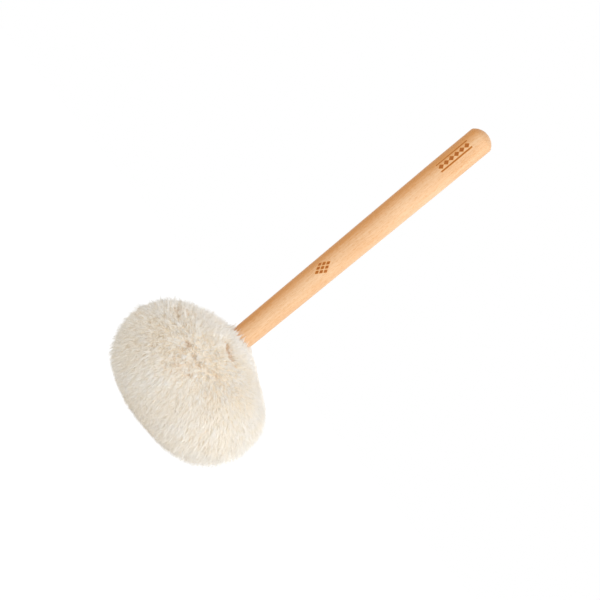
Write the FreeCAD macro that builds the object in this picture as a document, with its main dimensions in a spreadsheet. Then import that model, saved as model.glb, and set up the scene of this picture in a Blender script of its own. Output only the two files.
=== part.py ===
import FreeCAD, Part
import os
import re

import Sketcher

# A tam-tam mallet. A turned maple handle is tenoned and screwed into a turned wooden core,
# and the core is padded with felt and batting under a fleece cover that is drawn in and
# bound round the handle. Millimetres. The mallet stands on its striking face, with +Z up
# along the handle and the origin at the middle of the resting flat.

SIZES = {
    # Turned core: two crowned faces whose rounded edges meet at the widest circle.
    "core_radius": 40.0,
    "front_crown_radius": 134.0,
    "front_edge_radius": 20.0,
    "rear_crown_radius": 62.0,
    "rear_edge_radius": 8.0,
    # Layers over the core, from the inside out, with the play between one and the next.
    "felt_depth": 9.0,
    "felt_seam_degrees": 45.0,
    "batting_depth": 10.0,
    "backing_depth": 1.2,
    "pile_depth": 14.0,
    "layer_gap": 0.3,
    # How far the striking face is pressed flat where the mallet stands on it.
    "resting_flat_depth": 0.5,
    # Handle: thin at the head, straight along the grip, with a domed butt.
    "handle_length": 310.0,
    "neck_radius": 10.5,
    "grip_radius": 12.2,
    "grip_length": 50.0,
    "butt_depth": 8.0,
    "butt_edge_radius": 4.0,
    # Housed tenon that joins the handle to the core.
    "housing_depth": 4.0,
    "tenon_radius": 8.0,
    "core_web_depth": 4.8,
    "tenon_chamfer": 1.0,
    "tenon_end_gap": 0.5,
    "joint_clearance": 0.05,
    # Hexagon wood screw and its washer, sunk in the core's striking side.
    "screw_radius": 3.0,
    "screw_length": 45.0,
    "screw_point_length": 6.0,
    "screw_point_radius": 0.3,
    "screw_head_flats": 10.0,
    "screw_head_depth": 4.0,
    "screw_hole_clearance": 0.2,
    "pilot_spare_depth": 2.0,
    "drill_point_depth": 1.8,
    "washer_radius": 11.0,
    "washer_depth": 1.5,
    "recess_depth": 7.0,
    "recess_clearance": 1.0,
    # Neck of the cover: felt ring, gathered collar, thread binding and drawstring.
    "neck_ring_depth": 5.5,
    "collar_height": 9.6,
    "binding_depth": 1.2,
    "binding_height": 4.0,
    "binding_rise": 0.5,
    "drawstring_radius": 1.25,
    "knot_radius": 2.2,
    "knot_bite": 0.8,
    "knot_tail_length": 6.0,
    "knot_tail_radius": 1.0,
}

doc = FreeCAD.newDocument("TamTamMallet")
sheet = doc.addObject("Spreadsheet::Sheet", "Sizes")
for row, (size_name, millimetres) in enumerate(SIZES.items(), start=1):
    sheet.set(f"A{row}", size_name)
    sheet.set(f"B{row}", str(millimetres))
    sheet.setAlias(f"B{row}", size_name)
doc.recompute()

SIZE_WORDS = re.compile(r"\b(" + "|".join(SIZES) + r")\b")
SIDE_START, SIDE_END, CENTRE = 1, 2, 3
ROOT_POINT = (-1, 1)


def bound(text):
    """The same expression with each size read from its cell of the sheet."""
    return SIZE_WORDS.sub(r"Sizes.\1", text)


def number(text):
    """The value of an expression in sizes."""
    value = sheet.evalExpression(bound(text))
    return float(getattr(value, "Value", value))


def point(pair):
    """A sketch point from two expressions in sizes."""
    return FreeCAD.Vector(number(pair[0]), number(pair[1]), 0)


class Side:
    """One side of the head in section, front for the striking side and rear for the handle's.

    A broad crown arc centred on the axis runs tangent into a tight edge arc centred on the
    widest plane. Every layer is the same pair of arcs, pushed out by its own distance.
    """

    def __init__(self, name, sign):
        self.sign = sign
        self.crown = f"{name}_crown_radius"
        self.edge = f"{name}_edge_radius"
        self.spread = f"(core_radius - {self.edge})"
        self.reach = f"({self.crown} - {self.edge})"
        self.drop = f"sqrt({self.reach}^2 - {self.spread}^2)"

    def crown_centre(self):
        return "0", f"{self.sign}(0 - {self.drop})"

    def edge_centre(self):
        return self.spread, "0"

    def height(self, out, radius="0"):
        """How far the crown lies from the widest plane, at a radius from the axis."""
        return f"(sqrt(({self.crown} + {out})^2 - ({radius})^2) - {self.drop})"

    def crown_at(self, out, radius="0"):
        return radius, f"{self.sign}{self.height(out, radius)}"

    def join(self, out):
        """Where the crown arc runs into the edge arc."""
        along = f"{self.spread} * ({self.crown} + {out}) / {self.reach}"
        up = f"{self.sign}({self.drop} * ({self.edge} + {out}) / {self.reach})"
        return along, up

    def edge_at(self, out, degrees):
        """Where a line from the edge arc's centre, so many degrees off level, meets a layer."""
        along = f"{self.spread} + ({self.edge} + {out}) * cos({degrees})"
        return along, f"{self.sign}(({self.edge} + {out}) * sin({degrees}))"

    def from_axis(self, out, radius="0"):
        """Steps from the crown at a radius, out to the widest circle."""
        return [
            self.crown_at(out, radius),
            self.join(out) + self.crown_centre(),
            widest(out) + self.edge_centre(),
        ]

    def to_axis(self, out, radius="0"):
        """Steps from the widest circle, which the last step reached, in to a radius."""
        return [
            self.join(out) + self.edge_centre(),
            self.crown_at(out, radius) + self.crown_centre(),
        ]


def widest(out):
    return f"(core_radius + {out})", "0"


FRONT = Side("front", "-")
REAR = Side("rear", "")

# How far each layer's two faces stand out from the core.
FELT_IN = "layer_gap"
FELT_OUT = f"({FELT_IN} + felt_depth)"
BATTING_IN = f"({FELT_OUT} + layer_gap)"
BATTING_OUT = f"({BATTING_IN} + batting_depth)"
BACKING_IN = f"({BATTING_OUT} + layer_gap)"
BACKING_OUT = f"({BACKING_IN} + backing_depth)"
PILE_IN = f"({BACKING_OUT} + layer_gap)"
PILE_OUT = f"({PILE_IN} + pile_depth)"

# Heights are taken from the widest plane, and this is where that plane stands.
WIDEST_HEIGHT = f"{FRONT.height(PILE_OUT)} - resting_flat_depth"

# The handle passes every layer with the same play, and the cover's collar wraps it.
HANDLE_HOLE = "(neck_radius + layer_gap)"
RING_RADIUS = f"({HANDLE_HOLE} + neck_ring_depth)"
COLLAR_RADIUS = f"({HANDLE_HOLE} + backing_depth)"
COLLAR_TOP = f"({REAR.height(BACKING_OUT)} + collar_height)"
SEAT_HEIGHT = f"({REAR.height('0')} - housing_depth)"
HANDLE_TOP = f"({SEAT_HEIGHT} + handle_length)"

# The binding stands on the gathered cover, and the drawstring lies over the binding.
BINDING_RADIUS = f"({COLLAR_RADIUS} + layer_gap)"
BINDING_FOOT = f"({REAR.height(BACKING_OUT)} + binding_rise)"
KNOT_PLACE = f"({COLLAR_RADIUS} + layer_gap + knot_radius)"
STRING_RADIUS = f"({COLLAR_RADIUS} + layer_gap + drawstring_radius)"
STRING_HEIGHT = f"({BINDING_FOOT} + binding_height + layer_gap + knot_radius)"

# The washer lies on the recess's floor, and the screw's head bears on the washer. The tenon
# stops short of the web that is left between the recess and its own bore.
RECESS_FLOOR = f"(recess_depth - {FRONT.height('0')})"
BORE_FLOOR = f"({RECESS_FLOOR} + core_web_depth)"
TENON_END = f"({BORE_FLOOR} + tenon_end_gap)"
HEAD_SEAT = f"({RECESS_FLOOR} - washer_depth)"
SCREW_TIP = f"({HEAD_SEAT} + screw_length)"


def add_outline(body, name, steps):
    """Adds a closed, fully constrained sketch in the body's XZ plane.

    Each step is the corner (x, z) that a side of the outline ends at. A side is a line, or an
    arc where its step also gives the arc's centre. A corner that ends an arc is measured
    across the arc only, because its centre and its start already settle the other way.
    """
    sketch = body.newObject("Sketcher::SketchObject", name)
    planes = [item for item in body.Origin.OriginFeatures if item.Role == "XZ_Plane"]
    sketch.AttachmentSupport = [(planes[0], "")]
    sketch.MapMode = "FlatFace"
    sides = []
    for i, step in enumerate(steps):
        start, end = point(steps[i - 1]), point(step)
        if len(step) == 2:
            shape, ends = Part.LineSegment(start, end), (SIDE_START, SIDE_END)
        else:
            shape, ends = arc_between(start, end, point(step[2:]))
        sides.append((sketch.addGeometry(shape, False), *ends))
    for i, step in enumerate(steps):
        side, start, end = sides[i]
        before, _, before_end = sides[i - 1]
        sketch.addConstraint(Sketcher.Constraint("Coincident", before, before_end, side, start))
        keep_x = keep_z = True
        if len(step) > 2:
            measure(sketch, side, CENTRE, step[2:])
            from_centre = point(step) - point(step[2:])
            keep_x = abs(from_centre.x) < abs(from_centre.y)
            keep_z = not keep_x
        measure(sketch, side, end, step, keep_x, keep_z)
    return sketch


def arc_between(start, end, centre):
    """The arc under a half turn from start to end, and which of its ends they are."""
    turn = (start - centre).cross(end - centre).z
    first, last = (start, end) if turn > 0 else (end, start)
    circle = Part.Circle(centre, FreeCAD.Vector(0, 0, 1), (start - centre).Length)
    arc = Part.ArcOfCircle(circle, circle.parameter(first), circle.parameter(last))
    return arc, (SIDE_START, SIDE_END) if turn > 0 else (SIDE_END, SIDE_START)


def measure(sketch, side, end, pair, keep_x=True, keep_z=True):
    """Ties a point of the sketch to its two distances from the sketch's root."""
    for kind, text, keep in (("DistanceX", pair[0], keep_x), ("DistanceY", pair[1], keep_z)):
        if keep:
            rule = Sketcher.Constraint(kind, *ROOT_POINT, side, end, number(text))
            index = sketch.addConstraint(rule)
            sketch.setExpression(f"Constraints[{index}]", bound(text))


def turned(name, steps):
    """A body turned about the axis, standing with its widest plane at the head's."""
    body = doc.addObject("PartDesign::Body", name)
    body.Label = name
    sketch = add_outline(body, f"{name}_outline", steps)
    solid = body.newObject("PartDesign::Revolution", f"{name}_turned")
    solid.Profile = sketch
    solid.ReferenceAxis = (sketch, ["V_Axis"])
    solid.Angle = 360
    sketch.Visibility = False
    body.setExpression("Placement.Base.z", bound(WIDEST_HEIGHT))
    doc.recompute()
    return body


def bore(body, name, steps):
    """Cuts a turned hollow out of a body, and makes sure that it did."""
    before = body.Shape.Volume
    sketch = add_outline(body, f"{name}_outline", steps)
    cut = body.newObject("PartDesign::Groove", name)
    cut.Profile = sketch
    cut.ReferenceAxis = (sketch, ["V_Axis"])
    cut.Angle = 360
    sketch.Visibility = False
    doc.recompute()
    if not body.Shape.Volume < before:
        raise RuntimeError(f"{name} cuts nothing")


def primitive(kind, name, height, **sizes):
    """A Part primitive at a height over the widest plane, each of its sizes an expression."""
    solid = doc.addObject(kind, name)
    for key, text in sizes.items():
        solid.setExpression(key, bound(text))
    solid.setExpression("Placement.Base.z", bound(f"{WIDEST_HEIGHT} + {height}"))
    return solid


def joined(name, pieces):
    """One solid out of several primitives."""
    whole = doc.addObject("Part::MultiFuse", name)
    whole.Label = name
    whole.Shapes = pieces
    return whole


def holed(name, outer, inner):
    """One primitive with another cut out of it."""
    ring = doc.addObject("Part::Cut", name)
    ring.Label = name
    ring.Base, ring.Tool = outer, inner
    return ring


def make_handle():
    """Maple handle: tenon, shoulder, straight neck, long taper, straight grip, domed butt."""
    flat = f"({HANDLE_TOP} - butt_depth)"
    edge_spread = "(grip_radius - butt_edge_radius)"
    rise = "(butt_depth - butt_edge_radius)"
    dome = f"(({edge_spread}^2 + butt_depth^2 - butt_edge_radius^2) / (2 * {rise}))"
    share = f"(butt_edge_radius / ({dome} - butt_edge_radius))"
    dome_centre = f"({HANDLE_TOP} - {dome})"
    handle = turned("handle", [
        ("0", TENON_END),
        ("tenon_radius - tenon_chamfer", TENON_END),
        ("tenon_radius", f"{TENON_END} + tenon_chamfer"),
        ("tenon_radius", SEAT_HEIGHT),
        ("neck_radius", SEAT_HEIGHT),
        ("neck_radius", REAR.height(PILE_OUT)),
        ("grip_radius", f"{HANDLE_TOP} - grip_length"),
        ("grip_radius", flat),
        (f"{edge_spread} * (1 + {share})", f"{flat} + ({flat} - {dome_centre}) * {share}",
         edge_spread, flat),
        ("0", HANDLE_TOP, "0", dome_centre),
    ])
    pilot = "(screw_radius + joint_clearance)"
    pilot_top = f"({SCREW_TIP} + pilot_spare_depth)"
    bore(handle, "handle_pilot", [
        ("0", TENON_END),
        (pilot, TENON_END),
        (pilot, pilot_top),
        ("0", f"{pilot_top} + drill_point_depth"),
    ])
    return handle


def make_core():
    """Turned core with a housing and bore for the handle, and a recess for the washer."""
    core = turned("core_hub", [
        *FRONT.from_axis("0"),
        *REAR.to_axis("0"),
    ])
    housing = "(neck_radius + joint_clearance)"
    tenon_bore = "(tenon_radius + joint_clearance)"
    screw_hole = "(screw_radius + screw_hole_clearance)"
    recess = "(washer_radius + recess_clearance)"
    bore(core, "core_bore", [
        ("0", REAR.height("0")),
        ("0", f"0 - {FRONT.height('0')}"),
        (recess, f"0 - {FRONT.height('0')}"),
        (recess, RECESS_FLOOR),
        (screw_hole, RECESS_FLOOR),
        (screw_hole, BORE_FLOOR),
        (tenon_bore, BORE_FLOOR),
        (tenon_bore, SEAT_HEIGHT),
        (housing, SEAT_HEIGHT),
        (housing, REAR.height("0")),
    ])
    return core


def make_screw():
    """Hexagon wood screw, its thread as a plain shank of the thread's outer size."""
    shank_length = "(screw_length - screw_point_length)"
    head = primitive(
        "Part::Prism", "screw_head", f"{HEAD_SEAT} - screw_head_depth",
        Circumradius="screw_head_flats / sqrt(3)", Height="screw_head_depth",
    )
    head.Polygon = 6
    shank = primitive(
        "Part::Cylinder", "screw_shank", HEAD_SEAT,
        Radius="screw_radius", Height=shank_length,
    )
    tip = primitive(
        "Part::Cone", "screw_point", f"{HEAD_SEAT} + {shank_length}",
        Radius1="screw_radius", Radius2="screw_point_radius", Height="screw_point_length",
    )
    return joined("core_screw", [head, shank, tip])


def make_washer():
    """Wide washer that spreads the screw's pull over the core."""
    hole = "(screw_radius + screw_hole_clearance)"
    disc = primitive(
        "Part::Cylinder", "washer_disc", HEAD_SEAT,
        Radius="washer_radius", Height="washer_depth",
    )
    cut = primitive(
        "Part::Cylinder", "washer_hole", HEAD_SEAT, Radius=hole, Height="washer_depth",
    )
    return holed("core_washer", disc, cut)


def make_felt():
    """Felt on the core: a pad over each face and a band round the rim between them."""
    seam_in = FRONT.edge_at(FELT_IN, "felt_seam_degrees")
    seam_out = FRONT.edge_at(FELT_OUT, "felt_seam_degrees")
    front = turned("felt_front_pad", [
        FRONT.crown_at(FELT_OUT),
        FRONT.join(FELT_OUT) + FRONT.crown_centre(),
        seam_out + FRONT.edge_centre(),
        seam_in,
        FRONT.join(FELT_IN) + FRONT.edge_centre(),
        FRONT.crown_at(FELT_IN) + FRONT.crown_centre(),
    ])
    band = turned("felt_rim_band", [
        seam_out,
        widest(FELT_OUT) + FRONT.edge_centre(),
        REAR.join(FELT_OUT) + REAR.edge_centre(),
        REAR.join(FELT_IN),
        widest(FELT_IN) + REAR.edge_centre(),
        seam_in + FRONT.edge_centre(),
    ])
    rear = turned("felt_rear_pad", [
        REAR.crown_at(FELT_IN, HANDLE_HOLE),
        REAR.join(FELT_IN) + REAR.crown_centre(),
        REAR.join(FELT_OUT),
        REAR.crown_at(FELT_OUT, HANDLE_HOLE) + REAR.crown_centre(),
    ])
    return [front, band, rear]


def make_batting():
    """Soft batting: a bowl over the striking side, a ring over the rear, and a neck ring."""
    front = turned("batting_front", [
        *FRONT.from_axis(BATTING_OUT),
        widest(BATTING_IN),
        *FRONT.to_axis(BATTING_IN),
    ])
    hole = f"({RING_RADIUS} + layer_gap)"
    rear = turned("batting_rear", [
        *REAR.from_axis(BATTING_OUT, hole),
        widest(BATTING_IN),
        *REAR.to_axis(BATTING_IN, hole),
    ])
    ring = turned("neck_felt_ring", [
        REAR.crown_at(BATTING_IN, HANDLE_HOLE),
        REAR.crown_at(BATTING_IN, RING_RADIUS) + REAR.crown_centre(),
        REAR.crown_at(BATTING_OUT, RING_RADIUS),
        REAR.crown_at(BATTING_OUT, HANDLE_HOLE) + REAR.crown_centre(),
    ])
    return [front, rear, ring]


def make_cover():
    """Fleece cover: a knitted backing with a gathered collar, and the pile that stands on it."""
    backing = turned("fleece_backing", [
        *FRONT.from_axis(BACKING_OUT),
        *REAR.to_axis(BACKING_OUT, COLLAR_RADIUS),
        (COLLAR_RADIUS, COLLAR_TOP),
        (HANDLE_HOLE, COLLAR_TOP),
        REAR.crown_at(BACKING_IN, HANDLE_HOLE),
        REAR.join(BACKING_IN) + REAR.crown_centre(),
        widest(BACKING_IN) + REAR.edge_centre(),
        *FRONT.to_axis(BACKING_IN),
    ])
    pocket = f"({KNOT_PLACE} + knot_radius + layer_gap)"
    pocket_top = f"({COLLAR_TOP} + layer_gap)"
    floor = f"(0 - {FRONT.height(PILE_OUT)} + resting_flat_depth)"
    crown_to_floor = f"({FRONT.height(PILE_OUT)} + {FRONT.drop} - resting_flat_depth)"
    flat = f"sqrt((front_crown_radius + {PILE_OUT})^2 - {crown_to_floor}^2)"
    pile = turned("fleece_pile", [
        ("0", floor),
        (flat, floor),
        FRONT.join(PILE_OUT) + FRONT.crown_centre(),
        widest(PILE_OUT) + FRONT.edge_centre(),
        *REAR.to_axis(PILE_OUT, HANDLE_HOLE),
        (HANDLE_HOLE, pocket_top),
        (pocket, pocket_top),
        REAR.crown_at(PILE_IN, pocket),
        REAR.join(PILE_IN) + REAR.crown_centre(),
        widest(PILE_IN) + REAR.edge_centre(),
        *FRONT.to_axis(PILE_IN),
    ])
    return [backing, pile]


def make_neck_ties():
    """What holds the cover at the neck: a thread binding, and a knotted drawstring over it."""
    outer = primitive(
        "Part::Cylinder", "binding_outside", BINDING_FOOT,
        Radius=f"{BINDING_RADIUS} + binding_depth", Height="binding_height",
    )
    inner = primitive(
        "Part::Cylinder", "binding_inside", BINDING_FOOT,
        Radius=BINDING_RADIUS, Height="binding_height",
    )
    binding = holed("neck_binding", outer, inner)
    half_gap = f"asin((knot_radius - knot_bite) / {STRING_RADIUS})"
    loop = primitive(
        "Part::Torus", "drawstring_loop", STRING_HEIGHT,
        Radius1=STRING_RADIUS, Radius2="drawstring_radius", Angle3=f"360 deg - 2 * {half_gap}",
    )
    loop.setExpression("Placement.Rotation.Angle", bound(half_gap))
    knot = primitive("Part::Sphere", "drawstring_knot", STRING_HEIGHT, Radius="knot_radius")
    knot.setExpression("Placement.Base.x", bound(KNOT_PLACE))
    tails = primitive(
        "Part::Cylinder", "drawstring_tails", STRING_HEIGHT,
        Radius="knot_tail_radius", Height="2 * knot_tail_length",
    )
    tails.Placement.Rotation = FreeCAD.Rotation(FreeCAD.Vector(1, 0, 0), 90)
    tails.setExpression("Placement.Base.x", bound(KNOT_PLACE))
    tails.setExpression("Placement.Base.y", bound("knot_tail_length"))
    return [binding, joined("hem_drawstring", [loop, knot, tails])]


def export(parts):
    """Checks every object, then writes each sub-part under its own name."""
    doc.recompute()
    for item in doc.Objects:
        if {"Invalid", "Error"} & set(item.State):
            raise RuntimeError(f"{item.Label} failed: {item.State}")
    for part in parts:
        if part.Shape.isNull() or not part.Shape.isValid():
            raise RuntimeError(f"{part.Label} has no valid shape")
    os.makedirs("parts", exist_ok=True)
    for part in parts:
        part.Shape.exportStep(os.path.join("parts", f"{part.Label}.step"))
        box = part.Shape.BoundBox
        print(f"{part.Label}: {part.Shape.Volume / 1000:.2f} cm3,"
              f" z {box.ZMin:.2f} to {box.ZMax:.2f} mm, across {box.XLength:.2f} mm")


export([
    make_handle(),
    make_core(),
    make_screw(),
    make_washer(),
    *make_felt(),
    *make_batting(),
    *make_cover(),
    *make_neck_ties(),
])
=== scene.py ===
"""A tam-tam mallet: a turned maple handle in a felted wood core, under a thick fleece cover.

The mallet stands on its striking face with +Z up along the handle, in metres. Rigid pieces are
the frame's own nodes with new finishes. Felts, batting, cover, pile and cords are surfaces
worked out here from the head's outline, which all layers of the head share.
"""

import logging
import math
from collections.abc import Callable
from dataclasses import dataclass
from enum import Enum

import bpy
import numpy as np
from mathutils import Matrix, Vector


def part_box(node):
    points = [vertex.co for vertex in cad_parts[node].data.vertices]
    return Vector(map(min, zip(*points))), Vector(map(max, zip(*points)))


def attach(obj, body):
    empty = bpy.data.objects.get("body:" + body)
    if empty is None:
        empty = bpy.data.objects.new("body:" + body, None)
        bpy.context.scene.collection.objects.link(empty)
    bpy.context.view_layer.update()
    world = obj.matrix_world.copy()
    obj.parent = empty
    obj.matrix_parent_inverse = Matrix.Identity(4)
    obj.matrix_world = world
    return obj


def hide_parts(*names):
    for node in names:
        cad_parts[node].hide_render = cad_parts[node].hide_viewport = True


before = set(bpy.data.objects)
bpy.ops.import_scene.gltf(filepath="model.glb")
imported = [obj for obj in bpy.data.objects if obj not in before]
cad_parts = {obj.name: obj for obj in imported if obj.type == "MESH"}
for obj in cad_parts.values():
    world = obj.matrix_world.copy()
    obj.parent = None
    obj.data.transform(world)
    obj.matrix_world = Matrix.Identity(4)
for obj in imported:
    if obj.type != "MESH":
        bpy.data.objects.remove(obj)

bpy.context.view_layer.update()

Array = np.ndarray
Material = bpy.types.Material
Node = bpy.types.Node
Piece = bpy.types.Object
Socket = bpy.types.NodeSocket
Tree = bpy.types.NodeTree

MM = 0.001
FULL_TURN = 2 * math.pi
GOLDEN_ANGLE = math.pi * (3 - math.sqrt(5))
BODY = "root"
ON_AXIS = 1e-9  # a radius below this lies on the axis
POLE_GAP = 0.002 * MM  # points nearer than this are one
CALM_RADIUS = 6 * MM  # an uneven surface grows even within this radius
CORNER_STEPS = 5  # points along a quarter circle
CORD_SIDES = 8
WHITE = (1.0, 1.0, 1.0, 1.0)
LOG = logging.getLogger("mallet")


class Slot(Enum):
    """The record's material slots for the pieces that are made here."""

    FELT = "felt"
    BATTING = "batting"
    KNIT = "knit_backing"
    PILE = "fleece_pile"
    THREAD = "binding_thread"


def linear(colour: str) -> tuple[float, float, float, float]:
    """Turns an sRGB hex colour into the linear colour that a shader takes.

    Args:
        colour: Six hex digits after a hash sign.

    Returns:
        Linear red, green and blue, and an alpha of 1.
    """
    parts = [int(colour[i:i + 2], 16) / 255 for i in (1, 3, 5)]
    red, green, blue = (c / 12.92 if c <= 0.04045 else ((c + 0.055) / 1.055) ** 2.4 for c in parts)
    return red, green, blue, 1.0


def wire(tree: Tree, value: object, entry: Socket) -> None:
    """Gives a node's input what it takes.

    Args:
        tree: The node's tree.
        value: A value, an output, or a node whose first output in use is meant.
        entry: The input.
    """
    if isinstance(value, Node):
        value = next(output for output in value.outputs if output.enabled)
    if isinstance(value, Socket):
        tree.links.new(value, entry)
    else:
        entry.default_value = value


def add(tree: Tree, kind: str, *inputs: object, **settings: object) -> Node:
    """Adds a node, with its settings and links.

    Args:
        tree: The node tree that gets the node.
        kind: The node's type, without its ShaderNode prefix.
        inputs: What its first inputs get, in their order.
        settings: The node's own properties, and what other inputs get by their names, which
            start with a capital. Of inputs with one name, the one in use is meant.

    Returns:
        The new node.
    """
    node = tree.nodes.new(f"ShaderNode{kind}")
    for name, value in settings.items():
        if name.islower():
            setattr(node, name, value)
    for entry, value in zip(node.inputs, inputs):
        wire(tree, value, entry)
    for name, value in settings.items():
        if not name.islower():
            wire(tree, value, next(e for e in node.inputs if e.name == name and e.enabled))
    return node


def ease(low: float, high: float, value: Array) -> Array:
    """Rises smoothly from 0 where value is low to 1 where it is high: 3 s^2 - 2 s^3."""
    share = np.clip((value - low) / (high - low), 0, 1)
    return share * share * (3 - 2 * share)


def unit(vectors: Array) -> Array:
    """Each row of vectors at a length of 1."""
    return vectors / np.linalg.norm(vectors, axis=-1, keepdims=True)


def about_axis(radius: Array | float, angle: Array, height: Array | float) -> Array:
    """Points at a radius, an angle and a height about the axis: (r cos a, r sin a, h)."""
    return np.stack(np.broadcast_arrays(radius * np.cos(angle), radius * np.sin(angle), height), axis=-1)


def make_mesh(name: str, points: Array, faces: Array, smooth: bool = True) -> Piece:
    """Makes an object from arrays of points and of faces that all have as many corners.

    Args:
        name: The object's name.
        points: Rows of x, y and z.
        faces: Rows of point numbers, counter-clockwise seen from outside.
        smooth: Whether its faces are shaded as one surface.

    Returns:
        The new object, at the origin of the scene.
    """
    mesh = bpy.data.meshes.new(name)
    count, corners = faces.shape
    mesh.vertices.add(len(points))
    mesh.vertices.foreach_set("co", points.astype(np.float32).ravel())
    mesh.loops.add(count * corners)
    mesh.loops.foreach_set("vertex_index", faces.astype(np.int32).ravel())
    mesh.polygons.add(count)
    mesh.polygons.foreach_set("loop_start", np.arange(0, count * corners, corners, dtype=np.int32))
    mesh.polygons.foreach_set("use_smooth", np.full(count, smooth))
    mesh.update(calc_edges=True)
    mesh.validate()
    piece = bpy.data.objects.new(name, mesh)
    bpy.context.scene.collection.objects.link(piece)
    return piece


def reshape(piece: Piece, move: Callable[[Array], Array]) -> None:
    """Moves all points of a piece.

    Args:
        piece: The piece.
        move: Takes the points as rows of x, y and z and gives them back moved.
    """
    points = np.empty(len(piece.data.vertices) * 3, np.float32)
    piece.data.vertices.foreach_get("co", points)
    points = move(points.reshape(-1, 3).astype(float))
    piece.data.vertices.foreach_set("co", points.astype(np.float32).ravel())
    piece.data.update()


def grid_faces(rows: int, columns: int, wrap_rows: bool) -> Array:
    """Quads between the points of a grid whose columns wrap round.

    Args:
        rows: Rows of points.
        columns: Points in a row.
        wrap_rows: Whether the last row also meets the first.

    Returns:
        Rows of four point numbers.
    """
    row = np.arange(rows if wrap_rows else rows - 1)[:, None] * columns
    next_row = (row + columns) % (rows * columns)
    column = np.arange(columns)
    next_column = (column + 1) % columns
    corners = [row + column, row + next_column, next_row + next_column, next_row + column]
    return np.stack([corner.ravel() for corner in corners], axis=1)


@dataclass(frozen=True)
class Swirl:
    """A smooth random field over space: a sum of sine waves of one length in random directions."""

    seed: int
    wavelength: float
    waves: int = 20

    def at(self, points: Array, channels: int = 3) -> Array:
        """Reads the field.

        Each channel is the sum over the waves of sin(2 pi d.p / wavelength + phase), scaled so
        that it spreads by about 1 either side of 0.

        Args:
            points: Rows of x, y and z.
            channels: How many unlike fields to read.

        Returns:
            A row of channels for each point.
        """
        rng = np.random.default_rng(self.seed)
        direction = unit(rng.normal(size=(self.waves, 3)))
        phase = rng.uniform(0, FULL_TURN, (self.waves, channels))
        angle = points @ (direction.T * (FULL_TURN / self.wavelength))
        return np.sin(angle[:, :, None] + phase).sum(axis=1) * math.sqrt(2 / self.waves)


@dataclass(frozen=True)
class HeadOutline:
    """The head's section: each side of its widest plane has a wide crown arc and an edge arc.

    Every layer of the head is an offset of the core's outline, so one function serves them all.
    A place on it is given by its tilt: the angle of the surface's normal from straight down,
    0 at the middle of the striking face, a quarter turn at the rim, a half turn at the rear.
    """

    core_radius: float = 40 * MM
    front_crown: float = 134 * MM
    front_edge: float = 20 * MM
    rear_crown: float = 62 * MM
    rear_edge: float = 8 * MM
    pile_out: float = 35.4 * MM
    resting_flat: float = 0.5 * MM

    @property
    def widest_height(self) -> float:
        """Height of the widest plane over the surface that the mallet stands on.

        Returns:
            The height.
        """
        spread = self.core_radius - self.front_edge
        drop = math.sqrt((self.front_crown - self.front_edge) ** 2 - spread**2)
        return self.front_crown + self.pile_out - drop - self.resting_flat

    def section(self, tilt: Array, out: Array | float) -> tuple[Array, Array]:
        """Places on the outline's offset.

        Within the crown, a point is (crown + out) from a centre on the axis; past it, it is
        (edge + out) from a centre in the widest plane. Both lie along the normal.

        Args:
            tilt: Angle of the normal from straight down.
            out: Distance outside the core.

        Returns:
            Radius from the axis, and height.
        """
        front = tilt < math.pi / 2
        crown = np.where(front, self.front_crown, self.rear_crown)
        edge = np.where(front, self.front_edge, self.rear_edge)
        spread, reach = self.core_radius - edge, crown - edge
        drop = np.sqrt(reach**2 - spread**2)
        slope = np.where(front, tilt, math.pi - tilt)
        on_crown = np.sin(slope) * reach < spread
        arc = np.where(on_crown, crown, edge) + out
        radius = arc * np.sin(slope) + np.where(on_crown, 0, spread)
        rise = arc * np.cos(slope) - np.where(on_crown, drop, 0)
        return radius, self.widest_height + np.where(front, -rise, rise)

    def hole_tilt(self, hole: float, out: Array | float) -> Array:
        """Tilt at which the rear of an offset is as near the axis as a hole's radius."""
        return math.pi - np.arcsin(hole / (self.rear_crown + out))

    def rear_join(self) -> float:
        """Tilt at which the rear's edge arc meets its crown arc."""
        spread, reach = self.core_radius - self.rear_edge, self.rear_crown - self.rear_edge
        return math.pi - math.asin(spread / reach)


def turned(name: str, section: Array, spokes: int, relief: Swirl | None = None, depth: float = 0) -> Piece:
    """Turns a section about the axis, with an uneven surface.

    Point (i, j) is (r cos a, r sin a, h) with r and h of section point i and a = 2 pi j / spokes,
    moved by the relief's field times its depth, which fades out on the axis. A section that
    starts and ends on the axis closes there; any other is a ring.

    Args:
        name: The piece's name.
        section: Radii and heights, walking up the outer side and down the inner one.
        spokes: How many times the section is repeated round the axis.
        relief: The field that makes the surface uneven.
        depth: How far the field moves the surface.

    Returns:
        The closed piece.
    """
    radius, height = section
    turn = np.arange(spokes) * (FULL_TURN / spokes)
    points = about_axis(radius[:, None], turn, height[:, None]).reshape(-1, 3)
    if relief:
        fade = ease(0, CALM_RADIUS, np.hypot(points[:, 0], points[:, 1]))
        points += relief.at(points) * (depth * fade)[:, None]
    closes = radius[0] < ON_AXIS
    piece = make_mesh(name, points, grid_faces(len(radius), spokes, wrap_rows=not closes))
    if closes:
        piece.modifiers.new("pole", "WELD").merge_threshold = POLE_GAP
    return piece


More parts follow.
